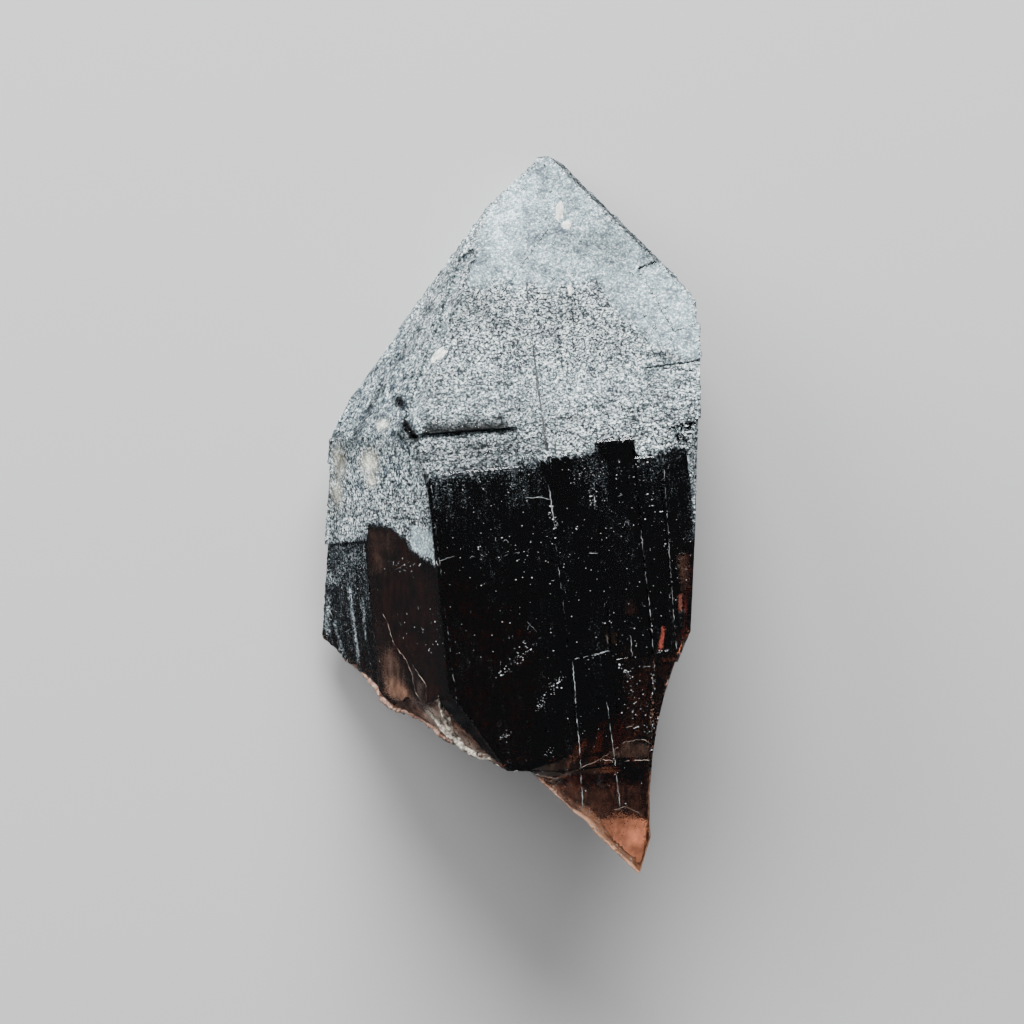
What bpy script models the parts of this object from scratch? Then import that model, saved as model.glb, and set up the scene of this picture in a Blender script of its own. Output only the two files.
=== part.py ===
"""Smoky quartz crystal with one natural point, broken off its matrix at the other end.

The crystal lies on its flat back prism face. Metres, +Z up, +Y along the long axis of the
crystal towards its point, +X to the right when it is seen from above. The origin is the
middle of its footprint, on the surface that it rests on.

The driving dimensions are millimetres in the layout frame: X and Y from the middle of the
edge between the front prism face and the great point face, Z from the rest face.
"""
import math

import bmesh
import bpy
from mathutils import Matrix, Vector

MM = 0.001
BLOCK_SIZE = 140.0  # edge of the rough block that the flat faces are cleaved from
REACH = 60.0  # how far a cutter runs past the crystal
LEDGE_HEADROOM = 2.0  # how far a ledge's cutter stands above its face
BOWL_STEPS = 5  # subdivisions of a bowl that the broken end is hollowed by
CHIP_STEPS = 3  # subdivisions of a bowl that is smaller than CHIP_RADIUS
CHIP_RADIUS = 5.0
FOOTPRINT_MIDDLE = (-5.12, -5.31)  # middle of the finished crystal in the layout frame

# The angle between a prism face and the point face above it, the same in all quartz.
POINT_SLOPE = 38.2

# Flat faces: azimuth about the long axis (0 faces up, 90 faces right), slope towards the
# point, and a place that the face goes through.
CRYSTAL_FACES = {
    "front": (0, 0, (0, 0, 27.0)),
    "left": (-60, 0, (-13.1, 0, 26.0)),
    "left edge": (-28, 3, (-13.1, -8.6, 26.0)),
    "back left": (-120, 16, (-25.2, -8.9, 5.4)),
    "rest": (180, 0, (0, 0, 0)),
    "back right": (120, 0, (15.2, 0, 14.8)),
    "right": (93.6, -8.1, (14.1, 0, 26.4)),
    "right strip": (60, 0, (12.9, 0, 26.4)),
    "great point": (0, POINT_SLOPE, (0, 0, 26.65)),
    "left point": (-60, POINT_SLOPE, (-8.65, 17.3, 13.5)),
    "back left point": (-116, POINT_SLOPE, (-13.8, 15.9, 5.3)),
    "back point": (180, POINT_SLOPE, (2.0, 30.9, 2.4)),
    "right point": (108.2, 28.2, (7.5, 25.3, 6.9)),
    "right sliver": (65.6, 47.1, (9.65, 21.3, 9.9)),
    "right shoulder": (96.7, 32.2, (14.8, 16.2, 12.0)),
    "left wall": (-95.9, -39.6, (-22.6, -19.5, 10.1)),
    "lower left": (-168.7, -60.6, (-15.0, -26.0, 20.0)),
    "front break": (-53.5, -25.6, (-12.5, -22.8, 26.0)),
    "under": (172.3, -68.4, (-2.0, -30.6, 26.0)),
}

# The splinter left hanging below the break, thin as a blade along its lower side.
SPLINTER_FACES = {
    "front": (0, 0, (0, 0, 25.85)),
    "back": (-154.3, -20.9, (-1.1, -35.8, 25.85)),
    "right": (98.0, -6.3, (5.9, -32.7, 25.0)),
    "tip": (104.0, -22.0, (4.3, -40.0, 25.0)),
    "left": (-90, 35.0, (-6.4, -30.3, 0)),
    "root": (0, 90, (0, -20.0, 0)),
}

# Growth blades of the front prism face: left side, right side, level, lower and upper end.
FRONT_BLADES = (
    (-REACH, -1.0, 26.0, -REACH, REACH),
    (-1.0, 3.2, 26.15, -19.5, REACH),
    (-1.0, 3.2, 26.4, -REACH, REACH),
    (3.2, 7.4, 25.35, -20.7, REACH),
    (3.2, 7.4, 25.8, -REACH, REACH),
    (7.4, REACH, 25.8, -REACH, -20.9),
    (9.7, REACH, 26.4, -REACH, REACH),
)

# Growth ledges: the face that is stepped down, a corner of the step, its turn in the face,
# its width to the right, its length towards the point and its depth.
LEDGES = {
    "below the great point": ("great point", (-4.0, 3.9, 23.6), -1.5, -14.0, -14.0, 0.6),
    "great point right": ("great point", (9.4, 8.6, 19.9), 3.0, 12.0, -3.2, 0.22),
    "great point shoulder": ("great point", (9.6, 18.6, 12.0), 19.6, 12.0, -9.0, 0.25),
    "left point band": ("left point", (-7.7, 21.3, 7.6), 19.6, 6.0, -22.0, 0.35),
    "left strip": ("left", (-20.3, -6.0, 13.6), 0.0, -20.0, -REACH, 0.6),
    "right upper": ("right", (15.3, 12.6, 30.0), 0.0, REACH, 30.0, 0.3),
    "right lower": ("right", (14.4, 3.0, 30.0), 0.0, REACH, -REACH, 0.28),
    "right foot": ("right", (12.5, -10.4, 20.0), 3.0, REACH, -30.0, 0.73),
    "back right blade": ("back right", (9.5, 8.0, 5.0), 0.0, 30.0, -REACH, 0.5),
    "back left blade": ("back left", (-20.5, 2.0, 2.5), 2.0, 30.0, -REACH, 0.45),
    "back left point step": ("back left point", (-12.0, 14.5, 3.0), -6.0, 30.0, -12.0, 0.4),
    "right point step": ("right point", (13.5, 15.0, 4.0), 8.0, 30.0, -14.0, 0.4),
}

# Conchoidal hollows: the face they are in, a place on it, the radius of the bowl and the
# depth of the hollow.
HOLLOWS = {
    "front": ("front break", (-17.5, -23.8, 17.0), 16.0, 0.9),
    "wall": ("left wall", (-21.5, -18.5, 4.0), 15.0, 0.7),
    "lower left": ("lower left", (-15.0, -19.0, 6.0), 24.0, 1.6),
    "lower middle": ("lower left", (-9.5, -25.0, 15.0), 15.0, 1.5),
    "under": ("under", (1.0, -27.0, 15.0), 20.0, 2.6),
    "under heel": ("under", (-2.0, -22.0, 3.0), 14.0, 2.0),
    "edge chip": ("great point", (-10.9, 11.6, 17.5), 2.6, 0.5),
    "top chip": ("great point", (2.7, 24.4, 7.5), 2.4, 0.2),
    "upper pit": ("left point", (-15.6, 7.6, 19.0), 1.1, 0.45),
    "lower pit": ("left", (-15.3, 4.3, 22.2), 1.2, 0.5),
}
SPLINTER_HOLLOW = ("back", (1.5, -33.5, 23.0), 16.0, 0.7)

# The bowl that the lower right side is broken away by: its centre and its radius.
RIGHT_BREAK = ((46.9, -39.0, 11.5), 44.0)

QUARTZ_COLOUR = (0.16, 0.09, 0.06, 1)
QUARTZ_ROUGHNESS = 0.12
QUARTZ_IOR = 1.544


def clear_scene():
    for old in list(bpy.data.objects):
        bpy.data.objects.remove(old, do_unlink=True)


def new_collection(name):
    collection = bpy.data.collections.new(name)
    bpy.context.scene.collection.children.link(collection)
    return collection


def face_normal(azimuth, slope):
    turn = math.radians(azimuth)
    lean = math.radians(slope)
    flat = math.cos(lean)
    return Vector((flat * math.sin(turn), math.sin(lean), flat * math.cos(turn)))


def face_frame(azimuth, slope):
    """A frame whose X runs across a face, Y up along it and Z out of it."""
    out = face_normal(azimuth, slope)
    across = Vector((math.cos(math.radians(azimuth)), 0, -math.sin(math.radians(azimuth))))
    along = out.cross(across)
    return Matrix((across, along, out)).transposed()


def cleave(mesh, azimuth, slope, place):
    """Cut away all that lies outside one flat face, and close the cut."""
    cut = bmesh.ops.bisect_plane(
        mesh,
        geom=mesh.verts[:] + mesh.edges[:] + mesh.faces[:],
        plane_co=Vector(place) * MM,
        plane_no=face_normal(azimuth, slope),
        clear_outer=True,
    )
    rim = [item for item in cut["geom_cut"] if isinstance(item, bmesh.types.BMEdge)]
    if rim:
        bmesh.ops.contextual_create(mesh, geom=rim)


def add_object(name, mesh, collection, layout):
    data = bpy.data.meshes.new(name)
    mesh.to_mesh(data)
    mesh.free()
    made = bpy.data.objects.new(name, data)
    made.parent = layout
    collection.objects.link(made)
    return made


def cleaved_block(name, faces, collection, layout):
    mesh = bmesh.new()
    bmesh.ops.create_cube(mesh, size=BLOCK_SIZE * MM)
    for azimuth, slope, place in faces:
        cleave(mesh, azimuth, slope, place)
    bmesh.ops.recalc_face_normals(mesh, faces=mesh.faces)
    return add_object(name, mesh, collection, layout)


def box_between(name, low, high, frame, place, collection, layout):
    """A box from low to high in a frame that stands at a place."""
    low = Vector(low) * MM
    high = Vector(high) * MM
    mesh = bmesh.new()
    bmesh.ops.create_cube(mesh, size=1.0)
    bmesh.ops.scale(mesh, vec=high - low, verts=mesh.verts)
    bmesh.ops.translate(mesh, vec=(high + low) / 2, verts=mesh.verts)
    bmesh.ops.transform(mesh, matrix=frame.to_4x4(), verts=mesh.verts)
    bmesh.ops.translate(mesh, vec=Vector(place) * MM, verts=mesh.verts)
    return add_object(name, mesh, collection, layout)


def change(target, tool, operation):
    """Join a tool to the target, or cut it away."""
    tool.hide_render = True
    tool.display_type = "WIRE"
    step = target.modifiers.new(tool.name, "BOOLEAN")
    step.operation = operation
    step.object = tool


def on_face(face, place):
    """The nearest point to a place on a face, in the layout's millimetres."""
    azimuth, slope, origin = face
    out = face_normal(azimuth, slope)
    return Vector(place) - out * (Vector(place) - Vector(origin)).dot(out)


def cut_bowl(target, name, centre, radius, collection, layout):
    steps = CHIP_STEPS if radius < CHIP_RADIUS else BOWL_STEPS
    mesh = bmesh.new()
    bmesh.ops.create_icosphere(mesh, subdivisions=steps, radius=radius * MM)
    bmesh.ops.translate(mesh, vec=centre * MM, verts=mesh.verts)
    change(target, add_object(name, mesh, collection, layout), "DIFFERENCE")


def cut_hollow(target, name, face, place, radius, depth, collection, layout):
    azimuth, slope, _ = face
    centre = on_face(face, place) + face_normal(azimuth, slope) * (radius - depth)
    cut_bowl(target, name + " hollow", centre, radius, collection, layout)


def cut_ledge(target, name, face, corner, turn, width, length, depth, collection, layout):
    azimuth, slope, _ = face
    frame = face_frame(azimuth, slope) @ Matrix.Rotation(math.radians(turn), 3, "Z")
    low = (min(width, 0), min(length, 0), -depth)
    high = (max(width, 0), max(length, 0), LEDGE_HEADROOM)
    place = on_face(face, corner)
    tool = box_between(name + " ledge", low, high, frame, place, collection, layout)
    change(target, tool, "DIFFERENCE")


def cut_blades(target, collection, layout):
    for number, (left, right, level, end, start) in enumerate(FRONT_BLADES):
        low = (left, end, level)
        high = (right, start, REACH)
        name = f"front blade {number + 1}"
        tool = box_between(name, low, high, Matrix.Identity(3), (0, 0, 0), collection, layout)
        change(target, tool, "DIFFERENCE")


def splinter_tool(collection, layout):
    splinter = cleaved_block("splinter", SPLINTER_FACES.values(), collection, layout)
    face, *shape = SPLINTER_HOLLOW
    cut_hollow(splinter, "splinter", SPLINTER_FACES[face], *shape, collection, layout)
    return splinter


def quartz_material():
    material = bpy.data.materials.new("smoky quartz")
    material.use_nodes = True
    shader = material.node_tree.nodes["Principled BSDF"]
    shader.inputs["Base Color"].default_value = QUARTZ_COLOUR
    shader.inputs["Roughness"].default_value = QUARTZ_ROUGHNESS
    shader.inputs["Metallic"].default_value = 0.0
    shader.inputs["IOR"].default_value = QUARTZ_IOR
    return material


clear_scene()
parts = new_collection("smoky_quartz_crystal")
cutters = new_collection("cutters")
layout = bpy.data.objects.new("layout", None)
layout.location = (-FOOTPRINT_MIDDLE[0] * MM, -FOOTPRINT_MIDDLE[1] * MM, 0)
parts.objects.link(layout)

crystal = cleaved_block("crystal", CRYSTAL_FACES.values(), parts, layout)
crystal.data.materials.append(quartz_material())
cut_blades(crystal, cutters, layout)
for name, (face, *shape) in LEDGES.items():
    cut_ledge(crystal, name, CRYSTAL_FACES[face], *shape, cutters, layout)
for name, (face, *shape) in HOLLOWS.items():
    cut_hollow(crystal, name, CRYSTAL_FACES[face], *shape, cutters, layout)
change(crystal, splinter_tool(cutters, layout), "UNION")
centre, radius = RIGHT_BREAK
cut_bowl(crystal, "right break", Vector(centre), radius, cutters, layout)
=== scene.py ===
"""Looks of the smoky quartz crystal: a frosted point over a dark, see-through prism.

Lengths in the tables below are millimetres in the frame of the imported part: X to the right
and Y towards the point as the crystal is seen from above, Z up from the face that it rests on.
"""

import math
import random

import bpy
import numpy as np
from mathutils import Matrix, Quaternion, Vector
from mathutils.bvhtree import BVHTree


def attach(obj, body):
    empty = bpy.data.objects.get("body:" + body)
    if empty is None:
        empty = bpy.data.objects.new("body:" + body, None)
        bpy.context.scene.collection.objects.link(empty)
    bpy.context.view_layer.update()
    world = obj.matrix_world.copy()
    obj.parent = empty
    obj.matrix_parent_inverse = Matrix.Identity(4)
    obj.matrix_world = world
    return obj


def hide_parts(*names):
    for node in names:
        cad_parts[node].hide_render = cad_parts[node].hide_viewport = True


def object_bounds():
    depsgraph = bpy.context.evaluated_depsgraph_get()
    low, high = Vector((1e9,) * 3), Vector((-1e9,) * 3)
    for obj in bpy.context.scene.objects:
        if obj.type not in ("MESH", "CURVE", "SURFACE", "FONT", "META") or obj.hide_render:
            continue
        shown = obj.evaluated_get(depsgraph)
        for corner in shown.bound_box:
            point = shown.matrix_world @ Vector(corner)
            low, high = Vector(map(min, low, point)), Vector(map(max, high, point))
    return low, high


MM = 0.001
SEED = 27

BODY_EDGE = 0.55  # longest edge of the body's mesh
FROST_EDGE = 0.30  # longest edge of the frosting's mesh along its fine lines and its border
BREAK_EDGE = 0.30  # longest edge of the break's film on its upper side
REFINE_PASSES = 9
FINE_LINE = 0.32  # half width under which a line of the frosting has the finer mesh
LINE_MARGIN = 0.25  # how far the finer mesh goes past such a line
BORDER_REACH = 0.5  # how far it goes from the border
BACK_FACING = 0.1  # Z of the normal under which a face is on the back
FROST_RISE = 0.035  # how far the frosting stands above the clear quartz
FROST_DEPTH = 0.05  # thickness of the frosting
FILM_RISE = 0.02  # the same for the film of the break
FILM_DEPTH = 0.03
VEIL_STEP = 0.3  # width of the meshes of an inner fracture
VEIL_DEPTH = 0.03  # its thickness
VEIL_LIGHT = 0.63  # what the colours of the fractures and their painted glow are multiplied by
DEEPEST = 0.4  # share of the quartz under it that a fracture may lie down
LINE_STEP = 0.2  # step of the scratches and growth lines
SKIP = 0.02  # a start below a surface, so that a ray leaves it
THINNEST = 0.3  # thinnest quartz that has a fracture inside
LEVEL_GAP = 0.8  # a rise in one step that is a wall between two levels
FRONT_LEVEL = 24.8  # the front prism face lies above it
BREAK_TOP = -6  # the break lies below this Y
SHARP_ANGLE = 22  # degrees

# Outward normals of the faces that grew flat. All else is broken.
GROWN_FACES = (
    (0, 0, 1), (0, 0, -1), (-0.866, 0, 0.5), (-0.469, 0.052, 0.882), (-0.832, 0.276, -0.481),
    (0.866, 0, -0.5), (0.988, -0.141, -0.062), (0.866, 0, 0.5), (0, 0.618, 0.786),
    (-0.681, 0.618, 0.393), (-0.706, 0.618, -0.345), (0, 0.618, -0.786), (0.837, 0.473, -0.275),
    (0.620, 0.733, 0.281), (0.841, 0.533, -0.099), (0.5, 0, 0.866), (-0.5, 0, -0.866),
)
GREAT_POINT = (0, 0.618, 0.786)
LEFT_POINT = (-0.681, 0.618, 0.393)
SLIVER = (0.620, 0.733, 0.281)

# Lower border of the frosting, from the left side to the right one, as seen from above.
FROST_BORDER = (
    (-20.86, -0.7), (-17.06, -0.7), (-15.36, -0.5), (-14.76, -0.2), (-14.46, 1.1),
    (-12.46, 0.6), (-11.66, -0.1), (-10.86, -0.9), (-10.66, -1.7), (-9.66, -2.7), (-8.66, -3.3),
    (-8.21, -4.1), (-8.16, -2.6), (-8.11, 5.1), (-3.96, 5.4), (2.54, 5.4), (4.44, 5.7),
    (7.44, 5.6), (8.44, 5.9), (8.84, 7.05), (12.54, 7.0), (12.64, 5.2), (13.24, 5.0),
    (14.94, 5.2), (15.34, 5.2), (16.14, 5.5), (17.54, 5.5), (17.74, 4.5), (17.84, 1.8),
    (17.89, -3.6), (21.14, -4.0),
)

# Streaks that add to the frosting or take it away, as seen from above: points of the line,
# half of its width, and how much it adds at its middle.
STREAKS = (
    # painted shade: the frosting is taken away along the shaded groove at the left edge of the
    # front face
    (((-8.21, 4.5), (-8.06, 1.2), (-7.96, -4.2)), 0.13, -0.8),
    (((-10.36, 12.9), (-10.26, 12.7)), 0.4, -0.7),
    (((-9.76, 10.4), (-9.66, 10.3)), 0.35, -0.7),
    (((-17.06, -5.5), (-17.0, -8.0), (-16.85, -12.6)), 0.20, 0.32),
    (((-15.83, -6.5), (-15.9, -10.5)), 0.12, 0.28),
    (((-18.9, -8.6), (-18.3, -12.3)), 0.22, 0.24),
    (((-17.86, -8.4), (-17.46, -11.5)), 0.2, 0.08),
    (((-19.76, -3.2), (-18.66, -4.4)), 0.5, 0.16),
    (((-19.26, -6.0), (-19.76, -9.6)), 0.3, 0.3),
    (((-20.06, -3.0), (-20.16, -9.0)), 0.25, 0.3),
    (((18.04, 3.0), (17.74, -3.6)), 0.3, 0.5),
    (((5.24, 4.5), (4.8, 0.0)), 1.1, -0.4),
    (((9.7, 6.0), (11.9, 5.7)), 0.8, -0.3),
    # painted shadow: the frosting is thinned in the ledge's shadow, so the dark quartz shows
    (((-7.7, 9.6), (-0.6, 9.45)), 0.6, -0.3),
    (((-9.9, 10.1), (-9.4, 9.5)), 0.28, -0.9),
    (((16.2, 13.6), (19.3, 13.0)), 0.14, -0.6),
    (((14.4, 11.9), (18.6, 10.9)), 0.12, -0.45),
    (((15.9, 9.6), (18.9, 8.9)), 0.13, -0.5),
)

# Shadows and bright edges in the frosting, as seen from above: points of the line, half of its
# width, and the share of the light that it adds.
SHADES = (
    (((-9.16, 9.0), (-8.66, 7.0), (-8.31, 5.0)), 0.42, -0.55),
    (((-8.31, 5.2), (-8.11, 1.2), (-7.96, -3.6)), 0.22, -0.6),
    (((3.84, 9.55), (9.14, 9.5), (15.34, 10.1)), 0.16, -0.45),
    (((14.54, 15.3), (19.04, 14.1)), 0.28, -0.5),
    (((15.84, 12.8), (18.84, 11.8)), 0.22, -0.4),
    (((13.14, 11.4), (18.14, 10.3)), 0.15, -0.3),
    (((14.14, 9.2), (18.44, 8.0)), 0.2, -0.35),
    (((15.14, 6.9), (18.44, 5.6)), 0.16, -0.4),
    (((-10.36, 13.0), (-10.06, 12.4)), 0.55, -0.95),
    (((-9.81, 10.6), (-9.46, 10.0)), 0.5, -0.95),
    (((-10.56, 9.6), (-9.96, 9.0)), 0.45, -0.9),
    (((-9.16, 9.5), (-8.86, 8.9)), 0.3, -0.8),
    (((-0.16, 13.7), (0.94, 13.4)), 0.22, -0.7),
    (((-1.46, 13.0), (-0.56, 13.1)), 0.14, -0.6),
    (((-9.36, 15.4), (-6.36, 15.1), (-3.36, 15.3)), 0.14, -0.45),
    (((-6.66, 12.4), (-3.26, 12.7)), 0.12, -0.4),
    (((1.34, 10.9), (3.34, 10.6)), 0.12, -0.35),
    (((7.84, 21.0), (7.79, 19.3)), 0.14, -0.4),
    (((-11.66, 14.5), (-14.66, 10.4), (-17.46, 6.4)), 0.35, -0.45),
    (((-8.86, 18.6), (-13.36, 12.5)), 0.22, -0.35),
    (((-5.86, 22.5), (-10.06, 16.6)), 0.25, -0.4),
    (((-3.06, 26.9), (-7.06, 21.2)), 0.2, -0.35),
    (((-17.86, 4.6), (-18.26, -0.2)), 0.35, -0.45),
    (((-15.96, 5.2), (-16.16, 0.8)), 0.2, -0.35),
    (((-11.86, 4.6), (-11.46, 0.6)), 0.25, -0.3),
    (((-0.86, 30.5), (-3.46, 25.0), (-4.96, 21.6)), 0.2, 0.5),
    (((-4.96, 21.6), (-8.06, 16.5), (-9.86, 13.4)), 0.16, 0.25),
    (((-15.26, 8.0), (-13.86, 3.4)), 0.9, 0.3),
    (((-12.56, 7.2), (-10.76, 4.6)), 0.5, 0.25),
    (((18.34, 10.0), (18.54, 16.0), (18.74, 21.5)), 0.3, 0.35),
    (((-8.16, 8.75), (-2.86, 9.05), (1.14, 9.3)), 0.1, 0.12),
)

# Broad lighter and darker places of the frosting: middle, half sizes, and the light added.
TONES = (
    (3.8, 32.4, 2.0, 3.0, 0.3), (1.6, 31.0, 1.8, 4.0, 0.4), (12.9, 26.4, 2.5, 3.5, -0.25),
    (8.9, 26.8, 3.0, 2.0, -0.2), (-1.86, 21.5, 2.6, 2.6, -0.3), (6.64, 20.0, 2.0, 2.4, -0.22),
    (2.14, 18.3, 1.4, 1.6, -0.22),
    (11.14, 16.5, 2.5, 2.5, -0.1), (-6.36, 13.5, 2.0, 1.5, -0.2), (9.14, 12.0, 3.5, 1.0, 0.12),
    (-2.86, 17.0, 2.5, 1.5, 0.12), (15.94, 20.5, 1.8, 3.0, 0.12), (4.14, 27.0, 2.0, 3.0, -0.06),
    (-14.36, 9.0, 2.2, 2.4, -0.18), (-17.86, 2.4, 1.0, 3.0, -0.3), (0.14, 30.0, 2.0, 2.0, 0.08),
    (-9.76, 1.2, 1.2, 3.2, -0.12), (4.14, 7.2, 1.6, 0.8, -0.12), (13.64, 7.2, 2.0, 0.8, -0.15),
    (-3.0, 7.5, 5.0, 1.5, -0.5), (-13.8, 7.1, 0.9, 1.1, 0.34), (-13.8, 5.3, 0.8, 0.9, 0.30),
    (-12.2, 10.7, 0.5, 0.5, 0.35), (-11.0, 5.4, 1.6, 1.2, 0.14), (-16.4, 9.8, 0.5, 1.3, -0.28),
)

# Yellowish places of the frosting: middle, half sizes, and how much of the tint they have.
WARM = (
    (-12.15, 10.7, 0.5, 0.4, 0.8), (-13.8, 7.1, 0.7, 1.0, 0.8), (-13.8, 5.3, 0.5, 0.6, 0.5),
    (-16.9, 7.5, 0.6, 1.5, 0.5), (-17.4, 4.5, 0.5, 1.2, 0.5),
)

# Where the coarse pitting of the great point face begins, below its smooth tip.
COARSE_TOP = (
    (-11.86, 19.0), (-7.86, 21.6), (-4.46, 24.4), (0.34, 24.3), (6.14, 23.3), (10.14, 23.9),
    (12.74, 19.8), (15.74, 16.6), (19.14, 15.0),
)

# Where the steps of the growth are too thin to be worn: the ends of a line.
THIN_STEP = ((16.4, 8.3), (19.2, 7.3))

# A smooth cleaved place in the frosting of the left prism face.
CLEAVED = ((-10.4, 0.58), (-8.17, -0.24), (-8.15, -3.16), (-9.72, -2.71), (-10.45, -1.93))

# The ledge that shades the frosting above it: its two ends, and how far the shade reaches.
LEDGE = ((-8.21, 9.2), (1.14, 8.95), 1.6, 1.35)

# Pale growth lines and scratches on the prism, partly painted highlights: their pale colour also
# stands for the light that the edges of the growth steps catch. Points of the line, its half width,
# and the share of it that shows.
PALE_LINES_AND_GLINTS = (
    # a painted highlight along the edge between the front and the left prism faces
    (((-7.88, 4.8), (-7.81, -1.0), (-7.64, -9.3), (-7.36, -18.2)), 0.045, 0.55),
    (((-8.06, -3.3), (-7.76, -4.6)), 0.06, 0.8),
    (((-10.53, -4.6), (-10.31, -8.0), (-10.06, -11.3)), 0.04, 0.6),
    (((-12.66, -6.9), (-12.06, -10.5), (-11.06, -15.0)), 0.03, 0.4),
    (((3.75, 3.2), (3.89, -0.4)), 0.09, 0.9),
    (((3.89, -0.4), (3.87, -2.4), (4.1, -10.5), (4.24, -13.2)), 0.045, 0.6),
    (((8.34, 4.6), (8.09, 0.2)), 0.07, 0.75),
    (((8.09, 0.2), (7.94, -4.1)), 0.035, 0.5),
    (((7.04, -4.02), (7.94, -4.1)), 0.045, 0.9),
    (((4.42, -14.5), (4.34, -19.0), (4.25, -24.5), (4.0, -30.5)), 0.08, 0.92),
    (((12.44, -2.2), (12.56, -11.3), (12.39, -17.3)), 0.06, 0.85),
    (((15.34, 5.0), (14.99, -5.5), (14.77, -15.5), (14.44, -18.0)), 0.055, 0.8),
    (((7.42, -18.8), (7.64, -24.0), (7.74, -29.4)), 0.06, 0.92),
    (((4.04, -14.4), (5.74, -14.2), (8.14, -13.85)), 0.09, 0.85),
    (((8.09, -13.9), (8.04, -12.4)), 0.05, 0.8),
    (((10.39, -12.5), (10.29, -16.2)), 0.06, 0.7),
    (((10.14, -15.85), (12.14, -15.75)), 0.05, 0.8),
    (((1.29, 2.05), (2.74, 2.0), (3.84, 1.62)), 0.07, 0.95),
    (((2.04, -1.4), (3.74, -1.3)), 0.04, 0.6),
    (((2.74, -6.4), (3.84, -6.3)), 0.04, 0.7),
    (((5.84, 3.0), (7.74, 2.9)), 0.05, 0.5),
    (((9.04, 1.2), (11.74, 1.5)), 0.04, 0.45),
    (((-7.76, -3.35), (-6.26, -3.0)), 0.04, 0.8),
    (((-2.26, -3.6), (0.54, -3.2)), 0.025, 0.7),
    (((0.34, -10.2), (1.34, -11.6)), 0.04, 0.9),
    (((-12.46, -3.9), (-10.76, -3.2)), 0.05, 0.8),
    (((-19.86, -3.2), (-18.26, -4.9)), 0.05, 0.9),
    (((-19.76, -6.8), (-17.86, -8.0), (-16.06, -8.6)), 0.05, 0.85),
    (((-19.66, -5.0), (-17.66, -5.9)), 0.04, 0.8),
    (((-19.26, -7.4), (-18.76, -9.6), (-18.66, -11.2)), 0.05, 0.85),
    (((-17.06, -5.0), (-16.86, -8.0), (-16.76, -12.6)), 0.07, 0.9),
    (((-16.16, -6.2), (-15.96, -9.5), (-15.66, -13.2)), 0.05, 0.8),
    (((-15.26, -1.0), (-15.16, -6.5)), 0.05, 0.7),
    (((-18.06, -9.6), (-17.06, -9.2)), 0.05, 0.9),
)

# Fine pale edges of fractures in and on the break.
BREAK_LINES = (
    (((-13.96, -8.1), (-13.56, -9.0), (-13.16, -11.1), (-12.06, -12.8), (-11.56, -14.5),
      (-11.46, -16.1), (-10.56, -17.8), (-9.66, -19.0)),
     0.045, 0.97),
    (((-11.26, -13.8), (-10.96, -14.3), (-10.31, -15.5), (-10.41, -17.1), (-10.76, -17.8)), 0.05,
     0.97),
    (((-14.86, -12.0), (-14.46, -14.4), (-13.76, -16.2), (-12.46, -17.6)), 0.035, 0.9),
    (((-0.66, -25.2), (1.64, -26.0), (3.14, -25.5), (6.14, -24.5), (7.84, -23.6), (8.94, -23.0),
      (10.44, -22.9), (11.34, -23.3)),
     0.04, 0.97),
    (((6.14, -24.5), (8.74, -24.9), (11.14, -25.0)), 0.065, 0.97),
    (((8.04, -21.8), (10.24, -21.4), (12.04, -21.5)), 0.035, 0.9),
    (((0.84, -27.1), (3.14, -25.5)), 0.045, 0.97),
    (((7.04, -29.6), (8.34, -29.4), (9.74, -30.3)), 0.035, 0.8),
)

# The thin dark seam where two growths meet on the great point face.
DARK_LINES = (
    (((3.64, 24.2), (3.48, 22.7), (3.5, 18.7), (3.59, 14.5)), 0.065, 0.85),
    (((3.59, 14.5), (3.64, 12.6), (3.84, 7.6), (3.89, 6.4)), 0.095, 0.98),
    (((3.84, 9.5), (6.94, 9.75), (9.14, 9.4), (11.64, 9.9), (15.34, 10.1)), 0.05, 0.55),
    (((14.54, 15.1), (16.64, 14.6), (18.84, 13.9)), 0.035, 0.5),
    (((7.74, 20.8), (7.79, 19.5)), 0.05, 0.5),
)

# Bright specks on the prism: two ends of the band they lie in, half of its width, how many.
SPECKS = (
    ((-3.16, -15.3), (1.04, -12.5), 0.45, 55),
    ((0.44, -19.2), (3.44, -15.8), 0.45, 60),
    ((-3.36, -21.6), (-2.56, -21.0), 0.45, 18),
    ((0.74, -23.4), (1.64, -23.1), 0.35, 12),
    ((-6.86, 4.5), (2.64, 3.0), 2.4, 60),
    ((-6.36, -2.0), (3.14, -4.0), 3.0, 70),
    ((-6.36, -10.0), (2.14, -12.0), 4.0, 50),
    ((5.14, 4.5), (12.14, 3.5), 1.6, 60),
    ((5.14, -3.0), (12.14, -4.0), 4.0, 90),
    ((5.14, -12.0), (12.64, -12.0), 4.0, 60),
    ((13.14, 2.0), (16.94, -8.0), 1.6, 60),
    ((9.64, -17.0), (12.14, -24.0), 1.3, 70),
    ((4.64, -20.0), (8.14, -29.0), 1.5, 30),
    ((-12.86, -3.0), (-9.36, -4.0), 0.8, 30),
    ((-13.36, -7.0), (-8.86, -12.0), 2.0, 30),
    ((3.84, 1.5), (4.04, -1.5), 0.35, 30),
    ((8.14, 2.6), (8.04, 0.4), 0.35, 26),
    ((8.98, -15.15), (10.13, -16.77), 0.3, 26),
    ((12.17, -16.47), (12.33, -17.89), 0.2, 16),
    ((6.46, -14.21), (8.0, -13.85), 0.12, 24),
    ((12.67, -14.4), (13.98, -14.33), 0.15, 14),
)
SPECK_RADIUS = (0.020, 0.052)

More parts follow.
